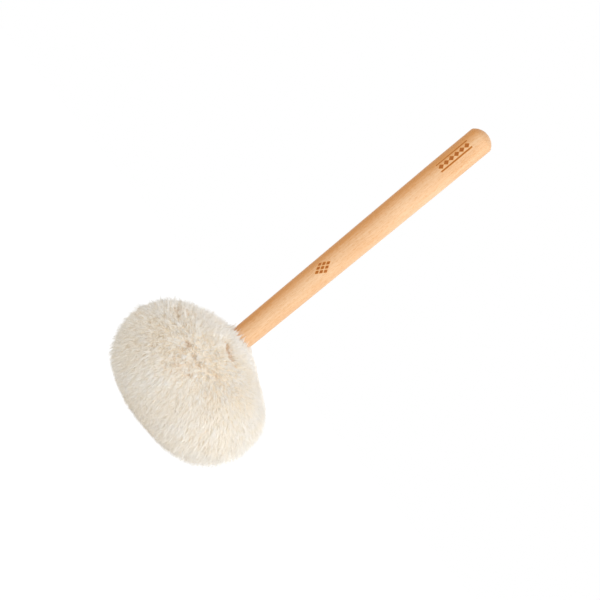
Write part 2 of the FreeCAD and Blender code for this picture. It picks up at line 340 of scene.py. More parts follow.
def strip(length: float, half: float, corner: float, steps: int, from_axis: bool) -> tuple[Array, Array]:
    """The section of a layer laid out flat: a strip whose free corners are quarter circles.

    It walks the outer side, the far end and the inner side. Where the layer doesn't start on
    the axis it walks the near end too.

    Args:
        length: Length of the strip.
        half: Half its thickness.
        corner: Radius of its corners.
        steps: Points along a side.
        from_axis: Whether its near end lies on the axis, and so isn't rounded.

    Returns:
        Distance along the strip, and distance outside its middle, of each point.
    """
    far, inset = length - corner, half - corner
    side = np.linspace(0.0 if from_axis else corner, far, steps)
    quarter = np.linspace(0, math.pi / 2, CORNER_STEPS)[1:-1]
    rise, run = corner * np.sin(quarter), corner * np.cos(quarter)
    along = [side, far + rise, [length, length], far + run, side[::-1]]
    across = [np.full(steps, half), inset + run, [inset, -inset], -inset - rise, np.full(steps, -half)]
    if not from_axis:
        along += [corner - rise, [0.0, 0.0], corner - run]
        across += [-inset - run, [-inset, inset], inset + rise]
    return np.concatenate(along), np.concatenate(across)


def cord(name: str, path: Array, centre: Array, thickness: float, closed: bool) -> Piece:
    """A round cord along a path: a circle carried square to it.

    Ring i is the circle of the cord's radius about path point i, in the plane of the direction
    away from the centre and of that direction's cross product with the path's own.

    Args:
        name: The piece's name.
        path: Rows of x, y and z.
        centre: A point that the path goes round, or one for each of its points.
        thickness: The cord's diameter.
        closed: Whether the path's end meets its start.

    Returns:
        The cord, its free ends drawn to a point.
    """
    ahead = np.roll(path, -1, axis=0) - np.roll(path, 1, axis=0)
    width = np.full(len(path), thickness / 2)
    if not closed:
        ahead[0], ahead[-1] = path[1] - path[0], path[-1] - path[-2]
        width[[0, -1]] /= 100
    ahead = unit(ahead)
    away = path - centre
    away = unit(away - ahead * (away * ahead).sum(axis=1, keepdims=True))
    beside = np.cross(ahead, away)
    angle = np.arange(CORD_SIDES)[:, None] * (FULL_TURN / CORD_SIDES)
    ring = away[:, None] * np.cos(angle) + beside[:, None] * np.sin(angle)
    points = (path[:, None] + ring * width[:, None, None]).reshape(-1, 3)
    return make_mesh(name, points, grid_faces(len(path), CORD_SIDES, wrap_rows=closed)[:, ::-1])


@dataclass(frozen=True)
class Finish:
    """What all finishes share: a Principled shader whose sockets a pattern fills."""

    name: str
    roughness: float

    def make(self) -> Material:
        """Builds the material.

        Returns:
            The material.
        """
        material = bpy.data.materials.new(self.name)
        material.use_nodes = True
        tree = material.node_tree
        sockets = {"Roughness": self.roughness} | self.pattern(tree)
        for name, value in sockets.items():
            wire(tree, value, tree.nodes["Principled BSDF"].inputs[name])
        return material

    def pattern(self, tree: Tree) -> dict[str, object]:
        """What the shader's sockets get, which each finish works out its own way."""
        raise NotImplementedError


@dataclass(frozen=True)
class Grain:
    """Noise in wood, with a size along X, Y and Z, that darkens the wood by up to its weight.

    Its darkening rises from 0 where the noise is low to the weight where the noise is high.
    """

    size: tuple[float, float, float]
    low: float = 0.0
    high: float = 1.0
    weight: float = 1.0
    detail: float = 2.0

    def noise(self, tree: Tree, place: Socket) -> Node:
        """Adds the noise alone."""
        stretched = add(tree, "Mapping", place, Scale=[1 / size for size in self.size])
        return add(tree, "TexNoise", stretched, Scale=1.0, Detail=self.detail)

    def draw(self, tree: Tree, place: Socket) -> tuple[Node, Node]:
        """Adds the noise and its darkening."""
        noise = self.noise(tree, place)
        return noise, add(tree, "MapRange", noise, self.low, self.high, 0.0, self.weight)


@dataclass(frozen=True)
class BurntOrnament:
    """Pokerwork on the handle: a row of lozenges between two lines, and a lattice of lozenges.

    Both are drawn on the handle's unrolled surface, where a place is its arc round the handle
    from the side that faces the viewer, and its height. The row's marks have edges one blur
    wide, and the lattice's small lozenges fade from one share of a half cell to the next.
    """

    arc_radius: float = 11.8 * MM
    blur: float = 0.6 * MM
    row_height: float = 347 * MM
    row_arc: float = -4.0 * MM
    pitch: float = 5.6 * MM
    lozenges: int = 6
    lozenge_long: float = 2.8 * MM
    lozenge_wide: float = 2.3 * MM
    line_place: float = 3.6 * MM
    line_width: float = 1.3 * MM
    lattice_height: float = 202 * MM
    lattice_arc: float = -2.4 * MM
    lattice_long: float = 6.2 * MM
    lattice_wide: float = 4.2 * MM
    lattice_cells: int = 3
    lattice_fade: tuple[float, float] = (0.30, 0.46)

    def mask(self, tree: Tree, place: Socket) -> Node:
        """Adds the nodes that say where the wood is burnt.

        Args:
            tree: The material's tree.
            place: Where on the handle.

        Returns:
            A node that gives 1 on a mark and 0 off it.
        """
        axes = add(tree, "SeparateXYZ", place)
        facing = add(tree, "Math", axes.outputs["Y"], -1.0, operation="MULTIPLY")
        turn = add(tree, "Math", axes.outputs["X"], facing, operation="ARCTAN2")
        arc = add(tree, "Math", turn, self.arc_radius, operation="MULTIPLY")
        row, lattice = (draw(tree, arc, axes.outputs["Z"]) for draw in (self.row, self.lattice))
        return add(tree, "Math", row, lattice, operation="MAXIMUM")

    def row(self, tree: Tree, arc: Node, height: Socket) -> Node:
        """Adds filled lozenges, |along| / long + |across| / wide < 1, and a line either side of them.

        Args:
            tree: The material's tree.
            arc: Place round the handle.
            height: Place along the handle.

        Returns:
            A node that gives 1 on a mark and 0 off it.
        """
        across = add(tree, "Math", arc, self.row_arc, operation="SUBTRACT")
        across = add(tree, "Math", across, operation="ABSOLUTE")
        reach = self.pitch * self.lozenges / 2
        climb = add(tree, "Math", height, self.row_height - reach, operation="SUBTRACT")
        cell = add(tree, "Math", climb, self.pitch / 2, operation="PINGPONG")
        along = add(tree, "Math", self.pitch / 2, cell, operation="SUBTRACT")
        slant = self.lozenge_wide / self.lozenge_long
        along = add(tree, "Math", along, slant, across, operation="MULTIPLY_ADD")
        lozenge = add(tree, "Math", self.lozenge_wide, along, operation="SUBTRACT")
        from_line = add(tree, "Math", across, self.line_place, operation="SUBTRACT")
        from_line = add(tree, "Math", from_line, operation="ABSOLUTE")
        line = add(tree, "Math", self.line_width / 2, from_line, operation="SUBTRACT")
        depth = add(tree, "Math", lozenge, line, operation="MAXIMUM")
        mark = add(tree, "MapRange", depth, -self.blur / 2, self.blur / 2)
        inside = add(tree, "Math", height, self.row_height, reach, operation="COMPARE")
        return add(tree, "Math", mark, inside, operation="MULTIPLY")

    def lattice(self, tree: Tree, arc: Node, height: Socket) -> Node:
        """Adds a large lozenge made of small ones: one cell repeated along both slants.

        Args:
            tree: The material's tree.
            arc: Place round the handle.
            height: Place along the handle.

        Returns:
            A node that gives 1 on a mark and 0 off it.
        """
        across = add(tree, "Math", arc, self.lattice_arc, operation="SUBTRACT")
        across = add(tree, "Math", across, self.lattice_wide, operation="DIVIDE")
        along = add(tree, "Math", height, self.lattice_height, operation="SUBTRACT")
        along = add(tree, "Math", along, self.lattice_long, operation="DIVIDE")
        marks = []
        for operation in ("ADD", "SUBTRACT"):
            slant = add(tree, "Math", across, along, operation=operation)
            inside = add(tree, "Math", slant, 0.0, self.lattice_cells / 2, operation="COMPARE")
            cell = add(tree, "Math", slant, 0.5, operation="PINGPONG")
            mark = add(tree, "MapRange", cell, *self.lattice_fade, 1.0, 0.0)
            marks.append(add(tree, "Math", mark, inside, operation="MULTIPLY"))
        return add(tree, "Math", *marks, operation="MULTIPLY")


@dataclass(frozen=True)
class LacqueredMaple(Finish):
    """Hard maple, turned, sanded and sprayed with satin lacquer.

    The eye sees a pale honey wood with straight, close, faint grain, short flecks where the
    rays cross the surface, and a soft shine along the handle.
    """

    name: str = "lacquered_maple"
    roughness: float = 0.5
    pale: str = "#F5CEA4"
    deep: str = "#D8954F"
    toasted: str = "#DE963A"
    burnt: str = "#A65400"
    # The pith is the growth rings' centre and also the centre of a painted shade, which deepens the side
    # towards it.
    pith: tuple[float, float] = (-45 * MM, 12 * MM)
    # Distances from the pith within which the painted shade is full, and beyond which it is gone.
    painted_shade: tuple[float, float] = (40 * MM, 52 * MM)
    ring_spacing: float = 2.8 * MM
    ring_bend: float = 6 * MM
    ring_weight: float = 0.07
    fibre: Grain = Grain((0.45 * MM, 0.45 * MM, 22 * MM), 0.35, 0.65, 0.17)
    fleck: Grain = Grain((0.7 * MM, 0.7 * MM, 3 * MM), 0.50, 0.66, 0.26)
    cloud: Grain = Grain((14 * MM, 14 * MM, 70 * MM), 0.35, 0.65, 0.3)
    ornament: BurntOrnament = BurntOrnament()
    patches: tuple[float, ...] = (0.3, 0.7, 0.88, 1.0)
    mark_depth: float = 2.0
    bump: float = 0.25
    lift: float = 0.05 * MM

    def pattern(self, tree: Tree) -> dict[str, object]:
        """Builds the grain and the ornament burnt into it.

        Growth rings are cylinders about a pith beside the handle, bent a little by the clouds.
        The wood is also painted deeper on the side towards that pith, -X, as shade on the side away from the
        lamps.

        Args:
            tree: The material's tree.

        Returns:
            What the shader's sockets get.
        """
        place = add(tree, "TexCoord").outputs["Object"]
        grains = [grain.draw(tree, place) for grain in (self.fibre, self.fleck, self.cloud)]
        (fibre, _), (fleck, _), (cloud, _) = grains
        from_pith = add(tree, "Mapping", place, Location=(-self.pith[0], -self.pith[1], 0), Scale=(1, 1, 0))
        distance = add(tree, "VectorMath", from_pith, operation="LENGTH")
        bent = add(tree, "Math", cloud, self.ring_bend, distance, operation="MULTIPLY_ADD")
        ring = add(tree, "Math", bent, FULL_TURN / self.ring_spacing, operation="MULTIPLY")
        ring = add(tree, "Math", ring, operation="SINE")
        shade = add(tree, "MapRange", ring, -1.0, 1.0, 0.0, self.ring_weight)
        # Painted shade: the side towards the pith, away from the lamps, is painted deeper.
        painted_shade = add(tree, "MapRange", bent, *self.painted_shade, 1.0, 0.0)
        for darker in (painted_shade, *(darkening for _, darkening in grains)):
            shade = add(tree, "Math", shade, darker, operation="ADD")
        wood = add(tree, "Mix", shade, A=linear(self.pale), B=linear(self.deep), data_type="RGBA")
        patchy = add(tree, "MapRange", fleck, *self.patches)
        mark = add(tree, "Math", self.ornament.mask(tree, place), patchy, operation="MULTIPLY")
        # The iron toasts the wood amber before it burns it brown, so a mark has an amber edge.
        toast = add(tree, "MapRange", mark, 0.0, 0.5)
        amber = add(tree, "Mix", toast, A=wood, B=linear(self.toasted), data_type="RGBA")
        scorch = add(tree, "MapRange", mark, 0.5, 1.0)
        colour = add(tree, "Mix", scorch, A=amber, B=linear(self.burnt), data_type="RGBA")
        relief = add(tree, "Math", mark, -self.mark_depth, fibre, operation="MULTIPLY_ADD")
        normal = add(tree, "Bump", self.bump, self.lift, Height=relief)
        # The wood lies under the lacquer, which gives all of the shine.
        return {"Base Color": colour, "Normal": normal, "Specular IOR Level": 0.1,
                "Coat Weight": 0.6, "Coat Roughness": 0.45}


@dataclass(frozen=True)
class TurnedBeech(Finish):
    """Beech, turned and left raw: pinkish tan, with short dark ray flecks all over."""

    name: str = "turned_beech"
    roughness: float = 0.62
    pale: str = "#D9AE86"
    deep: str = "#B98558"
    fibre: Grain = Grain((16 * MM, 0.5 * MM, 0.5 * MM), detail=3.0)
    fleck: Grain = Grain((2.4 * MM, 0.8 * MM, 0.8 * MM), 0.58, 0.66, 0.6, detail=1.0)
    bump: float = 0.4
    lift: float = 0.06 * MM

    def pattern(self, tree: Tree) -> dict[str, object]:
        """Builds the grain.

        Args:
            tree: The material's tree.

        Returns:
            What the shader's sockets get.
        """
        place = add(tree, "TexCoord").outputs["Object"]
        fibre = self.fibre.noise(tree, place)
        shade = add(tree, "Math", fibre, self.fleck.draw(tree, place)[1], operation="ADD")
        colour = add(tree, "Mix", shade, A=linear(self.pale), B=linear(self.deep), data_type="RGBA")
        return {"Base Color": colour, "Normal": add(tree, "Bump", self.bump, self.lift, Height=fibre)}


@dataclass(frozen=True)
class ZincPlate(Finish):
    """Pressed steel with bright zinc plating: cool grey, cloudy, with fine drawing marks."""

    name: str = "zinc_plate"
    roughness: float = 0.34
    bright: str = "#C9CCCE"
    dull: str = "#A3A8A8"
    cloud: float = 3.0 * MM
    mark: float = 0.25 * MM
    rough_span: tuple[float, float] = (-0.08, 0.1)
    bump: float = 0.2
    lift: float = 0.02 * MM

    def pattern(self, tree: Tree) -> dict[str, object]:
        """Builds the clouds and marks.

        Args:
            tree: The material's tree.

        Returns:
            What the shader's sockets get.
        """
        place = add(tree, "TexCoord").outputs["Object"]
        cloud = add(tree, "TexNoise", place, Scale=1 / self.cloud, Detail=3.0)
        mark = add(tree, "TexNoise", place, Scale=1 / self.mark, Detail=1.0)
        colour = add(tree, "Mix", cloud, A=linear(self.bright), B=linear(self.dull), data_type="RGBA")
        least, most = (self.roughness + change for change in self.rough_span)
        return {"Base Color": colour, "Normal": add(tree, "Bump", self.bump, self.lift, Height=mark),
                "Roughness": add(tree, "MapRange", cloud, 0.3, 0.7, least, most), "Metallic": 1.0}


@dataclass(frozen=True)
class MattedFibre(Finish):
    """Wool felt or polyester batting: tangled fibres that scatter light softly at every angle.

    The tangle is noise bent by coarser noise, so that its streaks run every way, drawn at the
    width of a small bundle of fibres because a single one is too fine to show.
    """

    name: str = "wool_felt"
    roughness: float = 0.9
    pale: str = "#E4DED0"
    deep: str = "#C3B9A5"
    bundle: float = 0.6 * MM
    cloud: float = 7.0 * MM
    bump: float = 0.7
    lift: float = 0.3 * MM

    def pattern(self, tree: Tree) -> dict[str, object]:
        """Builds the tangle.

        Args:
            tree: The material's tree.

        Returns:
            What the shader's sockets get.
        """
        place = add(tree, "TexCoord").outputs["Object"]
        tangle = add(tree, "TexNoise", place, Scale=1 / self.bundle, Detail=4.0, Distortion=2.5)
        cloud = add(tree, "TexNoise", place, Scale=1 / self.cloud, Detail=2.0)
        shade = add(tree, "Math", tangle, cloud, operation="MULTIPLY")
        shade = add(tree, "MapRange", shade, 0.1, 0.45)
        colour = add(tree, "Mix", shade, A=linear(self.deep), B=linear(self.pale), data_type="RGBA")
        return {"Base Color": colour, "Normal": add(tree, "Bump", self.bump, self.lift, Height=tangle),
                "Sheen Weight": 0.3, "Sheen Roughness": 0.6}


@dataclass(frozen=True)
class KnitJersey(Finish):
    """Polyester jersey that the pile is knitted into: ribs round the head, crossed by stitches."""

    name: str = "knit_jersey"
    roughness: float = 0.85
    pale: str = "#DACBB0"
    # The colour painted into the knit's low parts as shade.
    deep: str = "#A8926F"
    stitches_round: float = 300.0
    course: float = 1.3 * MM
    rib_share: float = 0.6
    bump: float = 0.6
    lift: float = 0.3 * MM

    def pattern(self, tree: Tree) -> dict[str, object]:
        """Builds the knit.

        Args:
            tree: The material's tree.

        Returns:
            What the shader's sockets get.
        """
        axes = add(tree, "SeparateXYZ", add(tree, "TexCoord").outputs["Object"])
        turn = add(tree, "Math", axes.outputs["Y"], axes.outputs["X"], operation="ARCTAN2")
        wale = add(tree, "Math", turn, self.stitches_round, operation="MULTIPLY")
        wale = add(tree, "Math", wale, operation="COSINE")
        course = add(tree, "Math", axes.outputs["Z"], FULL_TURN / self.course, operation="MULTIPLY")
        course = add(tree, "Math", course, operation="COSINE")
        stitch = add(tree, "Math", wale, course, operation="MULTIPLY")
        height = add(tree, "Math", wale, self.rib_share, stitch, operation="MULTIPLY_ADD")
        shade = add(tree, "MapRange", height, -1.4, 1.4)
        # Painted shade: the knit is deeper in colour where its relief is low, between ribs and stitches.
        colour = add(tree, "Mix", shade, A=linear(self.deep), B=linear(self.pale), data_type="RGBA")
        return {"Base Color": colour, "Normal": add(tree, "Bump", self.bump, self.lift, Height=shade),
                "Sheen Weight": 0.2}


@dataclass(frozen=True)
class WaxedThread(Finish):
    """Waxed cotton thread: off-white, with a dull shine and fine fibres twisted round it."""

    name: str = "waxed_thread"
    roughness: float = 0.55
    pale: str = "#DDD0B4"
    deep: str = "#A99674"
    twist: float = 0.5 * MM
    bump: float = 0.5
    lift: float = 0.08 * MM

    def pattern(self, tree: Tree) -> dict[str, object]:
        """Builds the twisted fibres.

        Args:
            tree: The material's tree.

        Returns:
            What the shader's sockets get.
        """
        place = add(tree, "TexCoord").outputs["Object"]
        fibre = add(tree, "TexNoise", place, Scale=1 / self.twist, Detail=3.0, Distortion=1.5)
        shade = add(tree, "MapRange", fibre, 0.3, 0.7)
        colour = add(tree, "Mix", shade, A=linear(self.deep), B=linear(self.pale), data_type="RGBA")
        return {"Base Color": colour, "Normal": add(tree, "Bump", self.bump, self.lift, Height=fibre)}


@dataclass(frozen=True)
class FleeceFibre(Finish):
    """Brushed fleece fibres: cream, a little yellower at the root, with soft sheen at the tips.

    Each fibre carries its own tone and its own length in its UV map, so the colour follows it.
    The eye sees off-white locks; fibres of the lowest tone, in partings and along tuft borders, are painted
    tan as shade.
    """

    name: str = "fleece_fibre"
    roughness: float = 0.8
    root: str = "#FBF6EC"
    tip_warm: str = "#FDF9F0"
    tip_cool: str = "#FBFAF8"
    # Painted tan shade for fibres in partings and along tuft borders.
    painted_shade_colour: str = "#EBD5B8"
    tip_span: tuple[float, float] = (0.3, 0.7)
    painted_shade_tones: tuple[float, float] = (0.03, 0.28)

    def pattern(self, tree: Tree) -> dict[str, object]:
        """Builds the colour along and between the fibres.

        Args:
            tree: The material's tree.

        Returns:
            What the shader's sockets get.
        """
        tone, climb, _ = add(tree, "SeparateXYZ", add(tree, "UVMap", uv_map=FibreMap.NAME)).outputs
        tip = add(tree, "Mix", tone, A=linear(self.tip_warm), B=linear(self.tip_cool), data_type="RGBA")
        climb = add(tree, "MapRange", climb, *self.tip_span, interpolation_type="SMOOTHSTEP")
        colour = add(tree, "Mix", climb, A=linear(self.root), B=tip, data_type="RGBA")
        # Painted shade: the lowest tones, given to fibres in partings and along tuft borders, turn tan.
        clear_of_painted_shade = add(tree, "MapRange", tone, *self.painted_shade_tones)
        colour = add(tree, "Mix", clear_of_painted_shade, A=linear(self.painted_shade_colour), B=colour, data_type="RGBA")
        return {"Base Color": colour, "Specular IOR Level": 0.25, "Sheen Weight": 0.25,
                "Sheen Roughness": 0.5}


class FibreMap:
    """The fibres' UV map: across it a fibre's tone, up it the way from its root to its tip."""

    NAME = "OFBake"
    HALF_WIDTH = 0.012

    @classmethod
    def attach(cls, mesh: bpy.types.Mesh, tone: Array, climb: Array, side: Array) -> None:
        """Lays the map on a mesh, one value for each face corner.

        Args:
            mesh: The fibres' mesh.
            tone: Tone of each corner's fibre, from 0 to 1.
            climb: Each corner's share of the way to the tip.
            side: Which side of the fibre the corner is on, from -1 to 1.
        """
        layer = mesh.uv_layers.new(name=cls.NAME)
        u = np.clip(tone, 2 * cls.HALF_WIDTH, 1 - 2 * cls.HALF_WIDTH) + side * cls.HALF_WIDTH
        layer.data.foreach_set("uv", np.stack([u, climb], axis=1).astype(np.float32).ravel())


def dress(material: Material, *nodes: str) -> None:
    """Gives CAD nodes a finish.

    Args:
        material: The finish.
        nodes: The nodes' names.
    """
    for name in nodes:
        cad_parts[name].data.materials[0] = material
        LOG.info("%s: dressed", name)


def fit(piece: Piece, material: Material, slot: Slot, *nodes: str) -> None:
    """Dresses a finished piece, seats it on the mallet and stands it in for CAD nodes.

    Args:
        piece: The finished piece.
        material: Its finish.
        slot: The record's slot for that finish; not used.
        nodes: The CAD nodes that it replaces.
    """
    piece.data.materials.append(material)
    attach(piece, BODY)
    if nodes:
        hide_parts(*nodes)
    LOG.info("%s: %d points, %d faces", piece.name, len(piece.data.vertices), len(piece.data.polygons))


@dataclass
class Handle:
    """The turned handle, whose shape is the frame's own."""

    node: str = "handle"

    def build(self) -> None:
        """Gives the handle its wood."""
        dress(LacqueredMaple().make(), self.node)


@dataclass
class Core:
    """The wood core, and the screw and washer that hold it on the handle."""

    hub: str = "core_hub"
    fasteners: tuple[str, ...] = ("core_screw", "core_washer")

    def build(self) -> None:
        """Gives the core its wood and the fasteners their plating."""
        dress(TurnedBeech().make(), self.hub)
        dress(ZincPlate().make(), *self.fasteners)


@dataclass(frozen=True)
class Layer:
    """One padded layer of the head, between two offsets of the core and two tilts.

    A layer that starts at tilt 0 closes on the axis. Where the handle passes through, a hole's
    radius takes the place of a tilt.
    """

    name: str
    node: str
    slot: Slot
    material: Material
    inner: float
    outer: float
    first_tilt: float = 0.0
    last_tilt: float = 0.0
    first_hole: float = 0.0
    last_hole: float = 0.0
    unevenness: float = 0.15 * MM
    wavelength: float = 11 * MM
    corner: float = 1.6 * MM
    corner_share: float = 0.9
    fill: float = 0.8
    spokes: int = 112
    walk_steps: int = 50
    side_steps: int = 44

    def build(self, outline: HeadOutline) -> None:
        """Builds the layer from a strip bent along the outline.

        The strip's length runs from the first tilt to the last and its thickness from the inner
        offset to the outer one.

        Args:
            outline: The head's section.
        """
        half = (self.outer - self.inner) / 2
        middle = self.inner + half
        first, last = self.ends(outline, middle)
        radius, height = outline.section(np.linspace(first, last, self.walk_steps), middle)
        length = float(np.hypot(np.diff(radius), np.diff(height)).sum())
        corner = min(self.corner, self.corner_share * half)
        along, across = strip(length, half, corner, self.side_steps, from_axis=first == 0)
        out = middle + across
        first, last = self.ends(outline, out)
        section = outline.section(first + (last - first) * along / length, out)
        relief = Swirl(len(self.name), self.wavelength)
        piece = turned(self.name, section, self.spokes, relief, self.unevenness)
        fit(piece, self.material, self.slot, self.node)

    def ends(self, outline: HeadOutline, out: Array | float) -> list[Array | float]:
        """The tilts at which the layer starts and stops, at an offset."""
        pairs = ((self.first_hole, self.first_tilt), (self.last_hole, self.last_tilt))
        return [outline.hole_tilt(hole, out) if hole else tilt for hole, tilt in pairs]


@dataclass
class Padding:
    """Everything soft between the core and the cover."""

    outline: HeadOutline
    felt_inner: float = 0.35 * MM
    felt_outer: float = 9.2 * MM
    batting_inner: float = 9.8 * MM
    batting_outer: float = 19.4 * MM
    batting_unevenness: float = 0.3 * MM
    batting_corner: float = 3 * MM
    batting_fill: float = 0.6
    felt_seam: float = math.radians(45)
    seam_gap: float = math.radians(0.25)
    handle_hole: float = 10.9 * MM
    ring_radius: float = 16.2 * MM
    batting_hole: float = 16.8 * MM

    def build(self) -> None:
        """Builds the felts, the felt ring at the neck and the two halves of the batting."""
        cloth = MattedFibre().make()
        fill = MattedFibre("polyester_batting", 0.85, "#F2EFE8", "#D8D3C6", 1.1 * MM, lift=0.6 * MM).make()
        felt = {"slot": Slot.FELT, "material": cloth}
        inside = felt | {"inner": self.felt_inner, "outer": self.felt_outer}
        beyond = {"inner": self.batting_inner, "outer": self.batting_outer}
        batting = beyond | {"slot": Slot.BATTING, "material": fill, "fill": self.batting_fill,
                            "unevenness": self.batting_unevenness, "corner": self.batting_corner}
        seam, join, rim, gap = self.felt_seam, self.outline.rear_join(), math.pi / 2, self.seam_gap
        layers = (
            Layer("felt_front", "felt_front_pad", last_tilt=seam - gap, **inside),
            Layer("felt_rim", "felt_rim_band", first_tilt=seam + gap, last_tilt=join - gap, **inside),
            Layer("felt_rear", "felt_rear_pad", first_tilt=join + gap, last_hole=self.handle_hole, **inside),
            Layer("felt_neck", "neck_felt_ring", first_hole=self.ring_radius, last_hole=self.handle_hole,
                  **felt, **beyond),
            Layer("wadding_front", "batting_front", last_tilt=rim - gap, **batting),
            Layer("wadding_rear", "batting_rear", first_tilt=rim + gap, last_hole=self.batting_hole,
                  **batting),
        )
        for layer in layers:
            layer.build(self.outline)


@dataclass
class Backing:
    """The fleece's knitted backing, drawn in at the neck to a collar with small gathers."""

    outline: HeadOutline
    middle: float = 20.5 * MM
    thickness: float = 0.9 * MM
    collar_radius: float = 11.45 * MM
    collar_top: float = 105.7 * MM
    gathers: int = 26
    gather_depth: float = 0.22 * MM
    gather_reach: float = 34 * MM
    band: tuple[float, float] = (386 * MM, 110 * MM)
    disc_radius: float = 50 * MM
    spokes: int = 156
    bowl_steps: int = 110
    collar_steps: int = 16

    def build(self) -> None:
        """Builds the backing as a sheet of two faces, gathered towards its collar.

        The section is the outline at the middle offset, then the collar's straight side, moved
        out and in by half the thickness.
        """
        half = self.thickness / 2
        last = float(self.outline.hole_tilt(self.collar_radius, self.middle))
        bowl = np.stack(self.outline.section(np.linspace(0, last, self.bowl_steps), self.middle), axis=1)
        rise = np.linspace(bowl[-1, 1], self.collar_top, self.collar_steps)[1:]
        line = np.concatenate([bowl, np.stack([np.full(len(rise), self.collar_radius), rise], axis=1)])
        out = unit(np.gradient(line, axis=0))[:, ::-1] * (half, -half)
        out[0] = (0, -half)
        piece = turned("knit_backing", np.concatenate([line + out, (line - out)[::-1]]).T, self.spokes)
        reshape(piece, self.gathered)
        fit(piece, KnitJersey().make(), Slot.KNIT, "fleece_backing")

    def gathered(self, points: Array) -> Array:
        """Folds the backing into gathers.

        They add depth * cos(count * angle) to the radius, more the nearer to the collar.

        Args:
            points: Rows of x, y and z, which are changed.

        Returns:
            The same points, folded.
        """
        radius = np.hypot(points[:, 0], points[:, 1])
        behind = points[:, 2] > self.outline.widest_height
        near = ease(self.gather_reach, self.collar_radius, radius) * behind
        wave = np.cos(self.gathers * np.arctan2(points[:, 1], points[:, 0]))
        points[:, :2] *= (1 + near * wave * self.gather_depth / np.maximum(radius, MM))[:, None]
        return points


@dataclass
class NeckTies:
    """What closes the cover: a thread binding round the collar, and a knotted drawstring."""

    binding_node: str = "neck_binding"
    binding_radius: float = 12.3 * MM
    thread: float = 0.56 * MM
    turns: int = 6
    turn_steps: int = 40
    reversal: tuple[float, float] = (0.46, 0.54)
    layer_step: float = 1.02
    string_node: str = "hem_drawstring"
    string_radius: float = 13.55 * MM
    string_height: float = 103.27 * MM
    string_thickness: float = 2.3 * MM
    strands: int = 3
    strand_share: float = 0.46
    lay_share: float = 0.27
    twists: int = 22
    twist_steps: int = 18
    knot_place: float = 14.5 * MM
    knot_size: float = 1.5 * MM
    knot_thickness: float = 1.3 * MM
    knot_steps: int = 120
    tail_length: float = 5.5 * MM
    tail_thickness: float = 1.7 * MM
    tail_start: float = 0.1
    tail_bow: float = 0.6 * MM
    tail_droop: float = 1.2 * MM
    tail_inset: float = 5 * MM
    tail_steps: int = 12

    def build(self) -> None:
        """Builds the binding, the drawstring and its knot."""
        thread = WaxedThread().make()
        fit(self.winding(), thread, Slot.THREAD, self.binding_node)
        for strand in [self.strand(i) for i in range(self.strands)]:
            fit(strand, thread, Slot.THREAD, self.string_node)
        fit(self.knot(), thread, Slot.THREAD)
        for name, side in (("left", -1), ("right", 1)):
            fit(self.tail(name, side), thread, Slot.THREAD)

    def winding(self) -> Piece:
        """Winds thread up the collar in one layer and down again over it.

        Along its length t from 0 to 1 the height is a triangle wave between the first turn and
        the last, and the radius steps out by a thread at the top.

        Returns:
            The thread.
        """
        low, high = (corner.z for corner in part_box(self.binding_node))
        way = np.linspace(0, 1, 2 * self.turns * self.turn_steps)
        climb = 1 - np.abs(2 * way - 1)
        radius = self.binding_radius + self.thread * (0.5 + self.layer_step * ease(*self.reversal, way))
        height = low + self.thread / 2 + climb * (high - low - self.thread)
        path = about_axis(radius, FULL_TURN * 2 * self.turns * way, height)
        return cord("neck_binding_thread", path, path * (0, 0, 1), self.thread, closed=False)

    def strand(self, index: int) -> Piece:
        """Lays one of the drawstring's strands, which twist about the ring that it lies on.

        Args:
            index: Which strand, from 0.

        Returns:
            The strand.
        """
        steps = self.twists * self.twist_steps
        angle = np.arange(steps) * (FULL_TURN / steps)
        phase = self.twists * angle + index * FULL_TURN / self.strands
        lay = self.string_thickness * self.lay_share
        height = self.string_height + lay * np.sin(phase)
        path = about_axis(self.string_radius + lay * np.cos(phase), angle, height)
        ring = about_axis(self.string_radius, angle, self.string_height)
        thickness = self.string_thickness * self.strand_share
        return cord(f"drawstring_strand_{index + 1}", path, ring, thickness, closed=True)

    def knot(self) -> Piece:
        """Ties the overhand knot as a trefoil: (-sin 3t, sin t + 2 sin 2t, cos t - 2 cos 2t).

        Returns:
            The knot.
        """
        t = np.arange(self.knot_steps) * (FULL_TURN / self.knot_steps)
        loops = (-np.sin(3 * t), np.sin(t) + 2 * np.sin(2 * t), np.cos(t) - 2 * np.cos(2 * t))
        centre = np.array([self.knot_place, 0, self.string_height])
        path = centre + np.stack(loops, axis=1) * (self.knot_size / 3)
        return cord("drawstring_knot", path, centre, self.knot_thickness, closed=True)

    def tail(self, name: str, side: int) -> Piece:
        """Lays a free end of the string beyond the knot, drooping a little towards its tip.

        Args:
            name: Its side's name.
            side: -1 or 1, the way that it points along Y.

        Returns:
            The end.
        """
        way = np.linspace(0, 1, self.tail_steps)
        aside = side * self.tail_length * (self.tail_start + (1 - self.tail_start) * way)
        path = np.stack([self.knot_place + self.tail_bow * np.sin(way * math.pi), aside,
                         self.string_height - self.tail_droop * way**2], axis=1)
        centre = np.array([self.knot_place - self.tail_inset, 0, self.string_height])
        return cord(f"drawstring_tail_{name}", path, centre, self.tail_thickness, closed=False)


@dataclass(frozen=True)
class Spot:
    """A place on the head: its tilt, and its turn round the axis, in degrees."""

    tilt: float
    turn: float


@dataclass(frozen=True)
class Parting(Spot):
    """A line along which the pile lies open: its middle, its heading in degrees, and its size.

    Pile within the width leans away from it and is shorter by a share, and the mass below it is
    sunk by the dent.
    """

    heading: float = 0.0
    length: float = 1.5 * MM
    width: float = 2.2 * MM
    push: float = 0.45
    dent: float = 1.8 * MM
    short: float = 0.5


@dataclass(frozen=True)
class Ruffle(Spot):
    """A round patch where the pile is ruffled: its middle, its size, and how much."""

    size: float
    amount: float


@dataclass(frozen=True)
class Press(Spot):
    """A side on which the pile has lain: a plane square to a direction, at a reach from the middle."""

    reach: float


